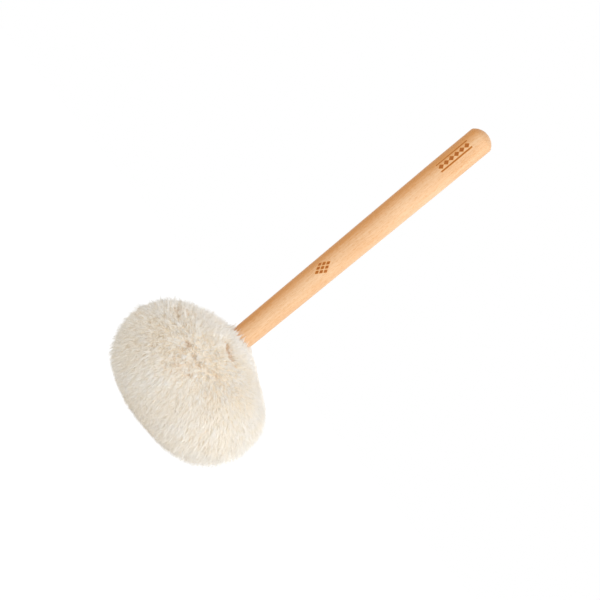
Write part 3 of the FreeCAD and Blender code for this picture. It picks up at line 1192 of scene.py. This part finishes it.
@dataclass
class Locks:
    """Locks of fibre: where each is rooted, how it leans, and how long and what tone it is."""

    root: Array
    normal: Array
    forward: Array
    around: Array
    lean: Array
    gather: Array
    length: Array
    tone: Array
    loose: Array

    def picked(self, chosen: slice) -> "Locks":
        """Some of the locks."""
        return Locks(*(values[chosen] for values in vars(self).values()))

    @classmethod
    def joined(cls, groups: list["Locks"]) -> "Locks":
        """Several groups of locks as one."""
        return cls(*(np.concatenate(values) for values in zip(*(vars(g).values() for g in groups))))


@dataclass
class Fleece:
    """The pile: an even mass of fibre near the backing, and the locks that stand out of it.

    Locks are spread evenly over the head and gathered into tufts. A lock leans towards the
    striking face, sags a little to the side it has lain on, and swirls with its neighbours.
    Most of the pile lies close and smooth; in a few patches it is ruffled into loose tufts,
    with shorter locks along the borders between them, whose lowered tone paints tan shade there.

    Of a pair of shares under the ruffles, calm pile has the first, and ruffled pile has up to
    the second more.
    """

    outline: HeadOutline
    node: str = "fleece_pile"
    seed: int = 11

    mass_inner: float = 22.9 * MM
    mass_outer: float = 31.4 * MM
    mass_steps: tuple[int, int] = (130, 60)
    mass_spokes: int = 190
    mass_relief: Swirl = Swirl(3, 5 * MM)
    mass_unevenness: float = 0.25 * MM
    mass_fill: float = 0.5

    root_out: float = 29.6 * MM
    neck_radius: float = 17.2 * MM
    hole_radius: float = 10.8 * MM
    spread_steps: int = 3000
    lock_count: int = 12600
    lock_shake: float = 0.42
    tuft_count: int = 2100
    tuft_shake: float = 0.5

    combing: tuple[tuple[float, float], ...] = (
        (0, 0.0), (25, 0.35), (60, 0.54), (90, 0.48), (119, 0.36), (140, 0.15), (157, 0.0), (165, -0.3))
    sag: tuple[float, float, float] = (0.770, 0.0, -0.638)
    sag_lean: float = 0.28
    drifts: tuple[tuple[Swirl, float], ...] = ((Swirl(21, 46 * MM), 0.08), (Swirl(22, 15 * MM), 0.09))

    lock_length: float = 6.9 * MM
    shortness: tuple[tuple[float, float], ...] = ((0, 0.78), (30, 0.8), (55, 1.0), (165, 1.0))
    length_drift: tuple[Swirl, float] = (Swirl(23, 24 * MM), 0.02)
    length_spread: float = 0.03
    sag_growth: float = 0.25
    sag_focus: int = 6

    front_tone: float = 0.5
    rear_tone: float = 0.35
    tone_tilts: tuple[float, float] = (math.radians(85), math.radians(125))
    tone_drift: Swirl = Swirl(24, 30 * MM)
    tone_spread: float = 0.1
    least_tone: float = 0.35
    fibre_tone_spread: float = 0.06

    calm_amount: float = 0.02
    ruffles: tuple[Ruffle, ...] = (
        Ruffle(119, -103, 30 * MM, 1.0), Ruffle(138, -148, 18 * MM, 0.9), Ruffle(150, -75, 16 * MM, 0.5),
        Ruffle(100, 170, 22 * MM, 0.6), Ruffle(135, 180, 22 * MM, 0.9), Ruffle(60, -50, 15 * MM, 0.6),
        Ruffle(125, 80, 28 * MM, 0.8), Ruffle(75, 140, 18 * MM, 0.6), Ruffle(140, -10, 16 * MM, 0.5))
    drift_shares: tuple[float, float] = (0.4, 0.6)
    tuft_lean_shares: tuple[float, float] = (0.03, 0.2)
    own_lean_shares: tuple[float, float] = (0.04, 0.05)
    gather_shares: tuple[float, float] = (0.05, 0.33)
    growth_shares: tuple[float, float] = (0.02, 0.13)
    border_width: float = 1.5 * MM
    border_short: float = 0.4
    # How far the tone is lowered along tuft borders, which paints tan shade there.
    border_shade: float = 0.7

    partings: tuple[Parting, ...] = (
        Parting(154.5, -88, 38, 17 * MM, 4.4 * MM, 0.6, 5.5 * MM, 0.72),
        Parting(138, -150, 76, 24 * MM, 3.0 * MM, 0.6, 2.5 * MM, 0.35),
        Parting(116, -102),
        Parting(97, -93),
        Parting(122, -80),
        Parting(120, -112, 70, 5 * MM),
        Parting(128, 35, 50, 12 * MM, 3 * MM, 0.8, 3.5 * MM),
        Parting(118, 78, -20, 4 * MM),
        Parting(136, 120, 80, 9 * MM, 2.8 * MM),
        Parting(112, 170, 10, 6 * MM),
        Parting(80, 60, -60, 5 * MM))
    parting_edge: float = 0.3
    # How far the tone is lowered in a parting for each share of shortening, which paints tan shade there.
    parting_shade: float = 1.4

    presses: tuple[Press, ...] = (Press(15, 180, 59.5 * MM), Press(153, 0, 55.5 * MM))
    press_depth: float = 8 * MM
    press_drift: Swirl = Swirl(31, 17 * MM)
    press_unevenness: float = 1.1 * MM
    press_power: int = 4
    floor_gap: float = 0.15 * MM

    frill_rings: tuple[tuple[int, float, float, float], ...] = (
        (56, 12.6 * MM, 104.4 * MM, -0.12), (62, 16.6 * MM, 103.5 * MM, -0.45))
    frill_shake: float = 0.4
    frill_leans: tuple[float, float] = (0.12, 0.2)
    frill_length: float = 9.0 * MM
    frill_span: tuple[float, float] = (0.85, 1.1)
    frill_tone: tuple[float, float] = (0.5, 0.12)

    sheets: int = 9
    strands: int = 13
    steps: tuple[float, ...] = (0.0, 0.55, 1.0)
    lock_radius: float = 1.75 * MM
    radius_span: tuple[float, float] = (0.8, 1.15)
    reach_span: tuple[float, float] = (0.78, 1.0)
    reach_fall: float = 0.1
    stray_share: float = 0.1
    stray_span: tuple[float, float] = (1.05, 1.5)
    stray_lean: float = 0.6
    frizz: float = 0.75 * MM
    frizz_fall: float = 0.45
    drawn_shares: tuple[float, float] = (0.22, 0.6)
    drawn_power: float = 1.2
    fibre_radius: float = 0.36 * MM
    fibre_span: tuple[float, float] = (0.8, 1.2)
    fibre_tilt: float = 0.3
    fibre_taper: tuple[float, float] = (1.0, 0.85)
    flatness: float = 0.45

    def build(self) -> None:
        """Builds the mass of the pile, then its locks in a few pieces."""
        mass = self.mass()
        matted = MattedFibre("fleece_mass", pale="#FBF5EB", deep="#F3E8D8", bundle=0.8 * MM)
        fit(mass, matted.make(), Slot.PILE, self.node)
        locks = self.locks()
        fibre = FleeceFibre().make()
        edges = np.linspace(0, len(locks.root), self.sheets + 1).astype(int)
        for i in range(self.sheets):
            chosen = locks.picked(slice(edges[i], edges[i + 1]))
            fit(self.strand_mesh(f"fleece_locks_{i + 1}", chosen, i), fibre, Slot.PILE)

    def mass(self) -> Piece:
        """Builds the close mass of fibre that the locks rise from, sunk at each parting.

        Returns:
            The mass, whose outer side is lumpy.
        """
        offsets = (self.mass_outer, self.mass_inner)
        ends = [float(self.outline.hole_tilt(self.neck_radius, out)) for out in offsets]
        walks = np.linspace(0, ends[0], self.mass_steps[0]), np.linspace(ends[1], 0, self.mass_steps[1])
        section = np.concatenate([self.outline.section(*pair) for pair in zip(walks, offsets)], axis=1)
        piece = turned("fleece_mass", section, self.mass_spokes, self.mass_relief, self.mass_unevenness)
        outside = np.arange(len(piece.data.vertices)) < self.mass_steps[0] * self.mass_spokes
        reshape(piece, lambda points: self.pressed(self.dented(points, outside)))
        return piece

    def dented(self, points: Array, outside: Array) -> Array:
        """Sinks the outside points at each parting towards the middle of the head."""
        depth = sum(p.dent * self.opening(p, points)[0] for p in self.partings) * outside
        return points + unit((0, 0, self.outline.widest_height) - points) * depth[:, None]

    def pressed(self, points: Array) -> Array:
        """Holds points back on the pressed sides.

        A distance w past a press's start, which lies its depth k before the plane, becomes
        w / (1 + (w / k)^4)^(1/4), which never passes k. The plane itself is a little wavy.

        Args:
            points: Rows of x, y and z, which are changed.

        Returns:
            The same points.
        """
        for press in self.presses:
            tilt, turn = np.radians([press.tilt, press.turn])
            out = about_axis(math.sin(tilt), turn, -math.cos(tilt))
            middle = self.outline.widest_height * math.cos(tilt)
            past = points @ out + middle - press.reach + self.press_depth
            near = past > 0
            wave = self.press_drift.at(points[near], 1)[:, 0]
            depth = self.press_depth + self.press_unevenness * wave
            power = self.press_power
            held = past[near] / (1 + (past[near] / depth)**power)**(1 / power)
            points[near] -= out * (past[near] - held)[:, None]
        return points

    def spread(self, count: int, shake: float, rng: np.random.Generator) -> tuple[Array, Array]:
        """Spreads places evenly by area, as a golden-angle spiral that is shaken a little.

        Place i has the tilt below which (i + 0.5) / count of the area lies, and a turn of i
        golden angles, each moved by up to shake times the spacing.

        Args:
            count: How many places.
            shake: How far each is moved, as a share of the spacing.
            rng: The source of chance.

        Returns:
            The tilt and the turn of each place.
        """
        last = float(self.outline.hole_tilt(self.neck_radius, self.root_out))
        fine = np.linspace(0, last, self.spread_steps)
        radius, height = self.outline.section(fine, self.root_out)
        step = np.hypot(np.diff(radius), np.diff(height))
        way = np.append(0, np.cumsum(step))
        area = np.append(0, np.cumsum(step * (radius[1:] + radius[:-1]) * math.pi))
        spacing = math.sqrt(area[-1] / count)
        tilt = np.interp((np.arange(count) + 0.5) / count * area[-1], area, fine)
        moved = np.interp(tilt, fine, way) + rng.uniform(-shake, shake, count) * spacing
        tilt = np.interp(np.clip(moved, 0, way[-1]), way, fine)
        at_radius = np.maximum(self.outline.section(tilt, self.root_out)[0], spacing / 2)
        turn = np.arange(count) * GOLDEN_ANGLE + rng.uniform(-shake, shake, count) * spacing / at_radius
        return tilt, turn

    def axes(self, tilt: Array, turn: Array) -> tuple[Array, ...]:
        """Finds places on the surface that the locks are rooted in.

        Args:
            tilt: The tilt of each place.
            turn: Its turn round the axis.

        Returns:
            The places, and at each the directions out, towards the front, and round.
        """
        radius, height = self.outline.section(tilt, self.root_out)
        out, up = about_axis(1.0, turn, 0.0), np.array([0.0, 0.0, 1.0])
        sine, cosine = np.sin(tilt)[:, None], np.cos(tilt)[:, None]
        normal, forward = out * sine - up * cosine, -out * cosine - up * sine
        return about_axis(radius, turn, height), normal, forward, np.cross(normal, forward)

    def spot_axes(self, spot: Spot) -> list[Array]:
        """A spot's place, and the directions out, towards the front, and round."""
        return [rows[0] for rows in self.axes(*np.radians([[spot.tilt], [spot.turn]]))]

    def locks(self) -> Locks:
        """Works out every lock's place, lean, length and tone.

        Returns:
            The locks, from the striking face to the neck, and then the frill round the handle.
        """
        rng = np.random.default_rng(self.seed)
        tilt, turn = self.spread(self.lock_count, self.lock_shake, rng)
        root, normal, forward, around = self.axes(tilt, turn)
        count, degrees, sag = len(root), np.degrees(tilt), np.array(self.sag)
        tuft, tufts, tuft_lean, tuft_size, inside = self.tufts(rng, root)
        wild = self.wildness(root)
        shares = (self.drift_shares, self.tuft_lean_shares, self.own_lean_shares, self.gather_shares,
                  self.growth_shares)
        drift, tuft_share, own, drawn, growth = (calm + more * wild for calm, more in shares)

        lean = forward * np.interp(degrees, *zip(*self.combing))[:, None]
        lean += self.sag_lean * (sag - normal * (normal @ sag)[:, None])
        sway = tuft_lean[tuft] * tuft_share[:, None] + rng.normal(0, 1, (count, 2)) * own[:, None]
        sway += sum(swirl.at(root, 2) * (amount * drift)[:, None] for swirl, amount in self.drifts)
        lean += forward * sway[:, :1] + around * sway[:, 1:]
        gather = (tufts[tuft] - root) * drawn[:, None]

        length = self.lock_length * np.interp(degrees, *zip(*self.shortness))
        swirl, amount = self.length_drift
        length *= 1 + amount * swirl.at(root, 1)[:, 0]
        length *= 1 + self.sag_growth * np.maximum(normal @ sag, 0)**self.sag_focus
        length *= (1 + growth * tuft_size[tuft]) * (1 + rng.normal(0, self.length_spread, count))

        tone = self.front_tone + self.rear_tone * ease(*self.tone_tilts, tilt)
        unlike = self.tone_drift.at(root, 1)[:, 0] + tuft_size[tuft]
        tone += self.tone_spread * unlike + rng.normal(0, self.tone_spread, count)
        tone = np.maximum(tone, self.least_tone)

        border = (1 - ease(0, self.border_width, inside)) * wild
        length *= 1 - self.border_short * border
        # Painted shade: a lowered tone turns the fibres tan along tuft borders, and below in partings.
        tone *= 1 - self.border_shade * border
        for parting in self.partings:
            opened, side = self.opening(parting, root)
            lean += side * (parting.push * opened)[:, None]
            length *= 1 - parting.short * opened
            # Painted tan shade in the parting.
            tone *= 1 - np.minimum(self.parting_shade * parting.short, 1) * opened
        pile = Locks(root, normal, forward, around, lean, gather, length, tone, wild)
        return Locks.joined([pile] + [self.frill(rng, *ring) for ring in self.frill_rings])

    def frill(self, rng: np.random.Generator, count: int, radius: float, height: float,
              slant: float) -> Locks:
        """Roots a ring of locks about the handle, which hides the ties.

        Args:
            rng: The source of chance.
            count: How many locks.
            radius: The ring's radius.
            height: Its height.
            slant: How far a lock leans away from the handle, as a share of its rise.

        Returns:
            The ring's locks.
        """
        shake = rng.uniform(-self.frill_shake, self.frill_shake, count)
        turn = (np.arange(count) + shake) * (FULL_TURN / count)
        out, up = about_axis(1.0, turn, 0.0), np.tile([0.0, 0.0, 1.0], (count, 1))
        around = np.cross(up, out)
        away, aside = (rng.normal(0, lean, (count, 1)) for lean in self.frill_leans)
        lean = out * (slant + away) + around * aside
        length = self.frill_length * rng.uniform(*self.frill_span, count)
        tone = rng.normal(*self.frill_tone, count)
        root, gather = about_axis(radius, turn, height), np.zeros((count, 3))
        return Locks(root, up, out, around, lean, gather, length, tone, np.ones(count))

    def wildness(self, root: Array) -> Array:
        """How ruffled the pile is.

        It is the sum of amount * exp(-(d / size)^2) over the ruffles, at most 1, with d the
        distance from the ruffle's middle.

        Args:
            root: The locks' roots.

        Returns:
            A share for each lock.
        """
        total = np.full(len(root), self.calm_amount)
        for ruffle in self.ruffles:
            offset = root - self.spot_axes(ruffle)[0]
            total += ruffle.amount * np.exp(-(offset**2).sum(axis=1) / ruffle.size**2)
        return np.minimum(total, 1)

    def tufts(self, rng: np.random.Generator, root: Array) -> tuple[Array, ...]:
        """Groups the locks into tufts.

        Args:
            rng: The source of chance.
            root: The locks' roots.

        Returns:
            Each lock's nearest tuft, the tufts' places, their leans and their sizes, and how far
            inside its tuft's border each lock lies.
        """
        tilt, turn = self.spread(self.tuft_count, self.tuft_shake, rng)
        places = self.axes(tilt, turn)[0]
        nearness = root @ places.T - (places**2).sum(axis=1) / 2
        rows, nearest = np.arange(len(root)), nearness.argmax(axis=1)
        best = nearness[rows, nearest]
        nearness[rows, nearest] = -np.inf
        second = nearness.argmax(axis=1)
        apart = np.linalg.norm(places[nearest] - places[second], axis=1)
        inside = (best - nearness[rows, second]) / apart
        lean, size = rng.normal(0, 1, (len(places), 2)), rng.normal(0, 1, len(places))
        return nearest, places, lean, size, inside

    def opening(self, parting: Parting, root: Array) -> tuple[Array, Array]:
        """Opens a parting.

        It falls off as exp(-(d / width)^2) with the distance d from the parting's line and along
        it past its ends.

        Args:
            parting: The parting.
            root: Rows of x, y and z.

        Returns:
            How much the pile is opened at each place, and the way that it is pushed.
        """
        place, _, forward, around = self.spot_axes(parting)
        heading = math.radians(parting.heading)
        along = forward * math.cos(heading) + around * math.sin(heading)
        across = around * math.cos(heading) - forward * math.sin(heading)
        offset = root - place
        beyond = np.maximum(np.abs(offset @ along) - parting.length / 2, 0)
        beside = offset @ across
        near = np.linalg.norm(offset, axis=1) < parting.length * 2
        opened = np.exp(-(beside**2 + beyond**2) / parting.width**2) * near
        return opened, across * np.tanh(beside / (self.parting_edge * parting.width))[:, None]

    def strand_mesh(self, name: str, locks: Locks, index: int) -> Piece:
        """Builds the fibres of some locks as thin three-sided spikes.

        At a share s of its length, a lock's middle is root + length * (normal * s / bend + lean
        * (0.4 s + 0.6 s^2)) + gather * s^2, with bend the length of the normal and the lean
        together. A fibre keeps its own place in the lock, drawn in towards the tip. A stray is
        longer and leans less.

        Args:
            name: The piece's name.
            locks: The locks to build.
            index: A number that seeds the fibres' own chance.

        Returns:
            The piece, with its fibre map.
        """
        rng = np.random.default_rng(self.seed + 100 + index)
        n, k = len(locks.root), self.strands
        spin = rng.uniform(0, FULL_TURN, (n, 1)) + np.arange(k) * GOLDEN_ANGLE
        far = self.lock_radius * np.sqrt((np.arange(k) + 0.5) / k) * rng.uniform(*self.radius_span, (n, k))
        place = about_axis(far, spin, 0.0)[..., :2]
        reach = rng.uniform(*self.reach_span, (n, k)) - self.reach_fall * (far / self.lock_radius)
        stray = rng.random((n, k)) < self.stray_share
        reach = np.where(stray, rng.uniform(*self.stray_span, (n, k)), reach)
        frizz = rng.normal(0, self.frizz, (n, k, 2)) * (1 - self.frizz_fall * locks.loose)[:, None, None]
        tight, looser = self.drawn_shares
        drawn = (tight + looser * locks.loose)[:, None, None, None]

        share = np.array(self.steps) * reach[..., None]
        length = locks.length[:, None, None]
        bend = np.sqrt(1 + 0.5 * (locks.lean**2).sum(axis=1))[:, None, None]
        swing = (0.4 * share + 0.6 * share**2) * length * np.where(stray, self.stray_lean, 1)[..., None]
        square, kept = share[..., None]**2, 1 - drawn * share[..., None]**self.drawn_power
        flat = place[:, :, None] * kept + frizz[:, :, None] * square
        ways = ((locks.normal, share * (length / bend)), (locks.lean, swing), (locks.gather, share**2),
                (locks.forward, flat[..., 0]), (locks.around, flat[..., 1]))
        moves = (way[:, None, None] * amount[..., None] for way, amount in ways)
        line = sum(moves, locks.root[:, None, None])

        line = self.pressed(line)
        line[..., 2] = np.maximum(line[..., 2], self.floor_gap)
        beside_handle = self.hole_radius / np.hypot(line[..., 0], line[..., 1])
        beside_handle = np.where(line[..., 2] > self.outline.widest_height, beside_handle, 1)
        line[..., :2] *= np.maximum(beside_handle, 1)[..., None]
        tone = np.repeat(locks.tone, k) + rng.normal(0, self.fibre_tone_spread, n * k)
        return self.spikes(name, line.reshape(n * k, -1, 3), np.repeat(locks.normal, k, axis=0), tone, rng)

    def spikes(self, name: str, line: Array, outward: Array, tone: Array, rng: np.random.Generator) -> Piece:
        """Sweeps a flat triangle along each fibre's line, its wide side outward, up to a point.

        Args:
            name: The piece's name.
            line: For each fibre, the points of its line.
            outward: For each fibre, the way out of the head.
            tone: Each fibre's tone.
            rng: The source of chance.

        Returns:
            The closed spikes with their fibre map.
        """
        count, rings = len(line), len(self.steps) - 1
        ahead = unit(line[:, -1] - line[:, 0])
        beside = unit(np.cross(outward + rng.normal(0, self.fibre_tilt, (count, 3)), ahead))
        above = np.cross(ahead, beside)
        angle = np.radians([30.0, 150.0, 270.0])[:, None]
        width = self.fibre_radius * rng.uniform(*self.fibre_span, count)[:, None] * self.fibre_taper
        ring = beside[:, None] * np.cos(angle) + above[:, None] * (self.flatness * np.sin(angle))
        hoops = line[:, :rings, None] + ring[:, None] * width[:, :, None, None]
        points = np.concatenate([hoops.reshape(count, -1, 3), line[:, -1:]], axis=1)

        faces, sides = [[0, 2, 1]], [[-1, 0, 1]]
        for start in range(0, 3 * rings, 3):
            for j in range(3):
                a, b = start + j, start + (j + 1) % 3
                if start + 3 < 3 * rings:
                    faces += [[a, b, b + 3], [a, b + 3, a + 3]]
                    sides += [[-1, 1, 1], [-1, 1, -1]]
                else:
                    faces.append([a, b, 3 * rings])
                    sides.append([-1, 1, 0])
        climbs = np.array(self.steps)[np.array(faces) // 3]
        first = np.arange(count)[:, None, None] * points.shape[1]
        piece = make_mesh(name, points.reshape(-1, 3), (faces + first).reshape(-1, 3), smooth=False)
        FibreMap.attach(piece.data, np.repeat(tone, climbs.size), np.tile(climbs.ravel(), count),
                        np.tile(np.ravel(sides), count))
        return piece


@dataclass(frozen=True)
class Lamp:
    """A round soft lamp that points at the mallet: its place, its width and its power in watts."""

    name: str
    place: tuple[float, float, float]
    size: float
    power: float


@dataclass
class Studio:
    """The camera at the photograph's angle, soft light all round, three lamps and a pale floor.

    The camera looks level along +Y at the mallet's side and is rolled, so that the handle rises
    to the right. A long lens keeps the view nearly square on. The floor is an opal acrylic
    sheet, as shops use, which lets a share of the light through from below. A veil of white
    over it shows only to the camera and in gloss.
    """

    aim: tuple[float, float, float] = (6.65 * MM, 0.0, 170.0 * MM)
    distance: float = 2.4
    view_width: float = 507 * MM
    roll: float = math.radians(50.37)
    clip: tuple[float, float] = (0.1, 40.0)
    lamps: tuple[Lamp, ...] = (
        Lamp("key", (0.8, -1.8, 0.85), 1.2, 13.0),
        Lamp("side", (2.0, -0.2, 0.8), 1.2, 11.7),
        Lamp("fill", (-1.8, -0.7, 0.25), 1.2, 4.0),
    )
    world_light: float = 0.66
    floor_half: float = 6.0
    floor_colour: str = "#EEEEEE"
    floor_opal: float = 0.5
    floor_veil: float = 0.82
    veil_strength: float = 1.12

    def build(self) -> None:
        """Builds the camera, the lamps, the world and the floor."""
        self.camera()
        for lamp in self.lamps:
            self.light(lamp)
        self.world()
        self.floor()

    def camera(self) -> None:
        """Places the camera: its right side is X turned up by the roll, and it looks along +Y."""
        data = bpy.data.cameras.new("camera")
        data.lens = self.distance * data.sensor_width / self.view_width
        data.clip_start, data.clip_end = self.clip
        camera = bpy.data.objects.new("camera", data)
        camera.location = (self.aim[0], self.aim[1] - self.distance, self.aim[2])
        camera.rotation_euler = (math.pi / 2, -self.roll, 0)
        bpy.context.scene.collection.objects.link(camera)
        bpy.context.scene.camera = camera

    def light(self, lamp: Lamp) -> None:
        """Places a lamp and turns it to the mallet.

        Args:
            lamp: The lamp.
        """
        data = bpy.data.lights.new(lamp.name, "AREA")
        data.shape, data.size, data.energy = "DISK", lamp.size, lamp.power
        placed = bpy.data.objects.new(lamp.name, data)
        placed.location = lamp.place
        to_aim = Vector(self.aim) - Vector(lamp.place)
        placed.rotation_euler = to_aim.to_track_quat("-Z", "Y").to_euler()
        bpy.context.scene.collection.objects.link(placed)

    def seen_by(self, tree: Tree, *rays: str) -> Node:
        """Adds the nodes that give 1 to some kinds of ray and 0 to others.

        Args:
            tree: The tree of a world or a material.
            rays: Two or more kinds, by their names in Light Path.

        Returns:
            The last node.
        """
        path = add(tree, "LightPath")
        seen = path.outputs[rays[0]]
        for ray in rays[1:]:
            seen = add(tree, "Math", seen, path.outputs[ray], operation="MAXIMUM")
        return seen

    def world(self) -> None:
        """Lights the mallet evenly, and shows plain white to the camera, in gloss and through glass."""
        world = bpy.data.worlds.new("studio")
        world.use_nodes = True
        tree = world.node_tree
        light = add(tree, "Background", WHITE, self.world_light)
        plain = add(tree, "Background", WHITE, 1.0)
        seen = self.seen_by(tree, "Is Camera Ray", "Is Glossy Ray", "Is Transmission Ray")
        wire(tree, add(tree, "MixShader", seen, light, plain), tree.nodes["World Output"].inputs["Surface"])
        bpy.context.scene.world = world

    def floor(self) -> None:
        """Lays a floor that is white to the camera but keeps a faint shadow, and clear from below."""
        corners = np.array([[-1, -1, 0], [1, -1, 0], [1, 1, 0], [-1, 1, 0]]) * self.floor_half
        floor = make_mesh("floor", corners, np.array([[0, 1, 2, 3]]), smooth=False)
        material = bpy.data.materials.new("pale_floor")
        material.use_nodes = True
        tree = material.node_tree
        face = add(tree, "BsdfDiffuse", linear(self.floor_colour))
        glow = add(tree, "BsdfTranslucent", linear(self.floor_colour))
        sheet = add(tree, "MixShader", self.floor_opal, face, glow)
        veil = add(tree, "Emission", WHITE, self.veil_strength)
        veiled = add(tree, "MixShader", self.floor_veil, sheet, veil)
        above = add(tree, "MixShader", self.seen_by(tree, "Is Camera Ray", "Is Glossy Ray"), sheet, veiled)
        from_below = add(tree, "NewGeometry").outputs["Backfacing"]
        both = add(tree, "MixShader", from_below, above, add(tree, "BsdfTransparent"))
        wire(tree, both, tree.nodes["Material Output"].inputs["Surface"])
        floor.data.materials.append(material)


def main() -> None:
    """Builds the mallet and its studio."""
    logging.basicConfig(level=logging.INFO, format="%(message)s")
    scene = bpy.context.scene
    scene.view_settings.view_transform = "Standard"
    # Pale fibres hand light on from one to the next many times before it leaves the fleece.
    scene.cycles.max_bounces = scene.cycles.diffuse_bounces = 24
    outline = HeadOutline()
    Studio().build()
    Handle().build()
    Core().build()
    Padding(outline).build()
    Backing(outline).build()
    NeckTies().build()
    Fleece(outline).build()


if __name__ == "__main__":
    main()
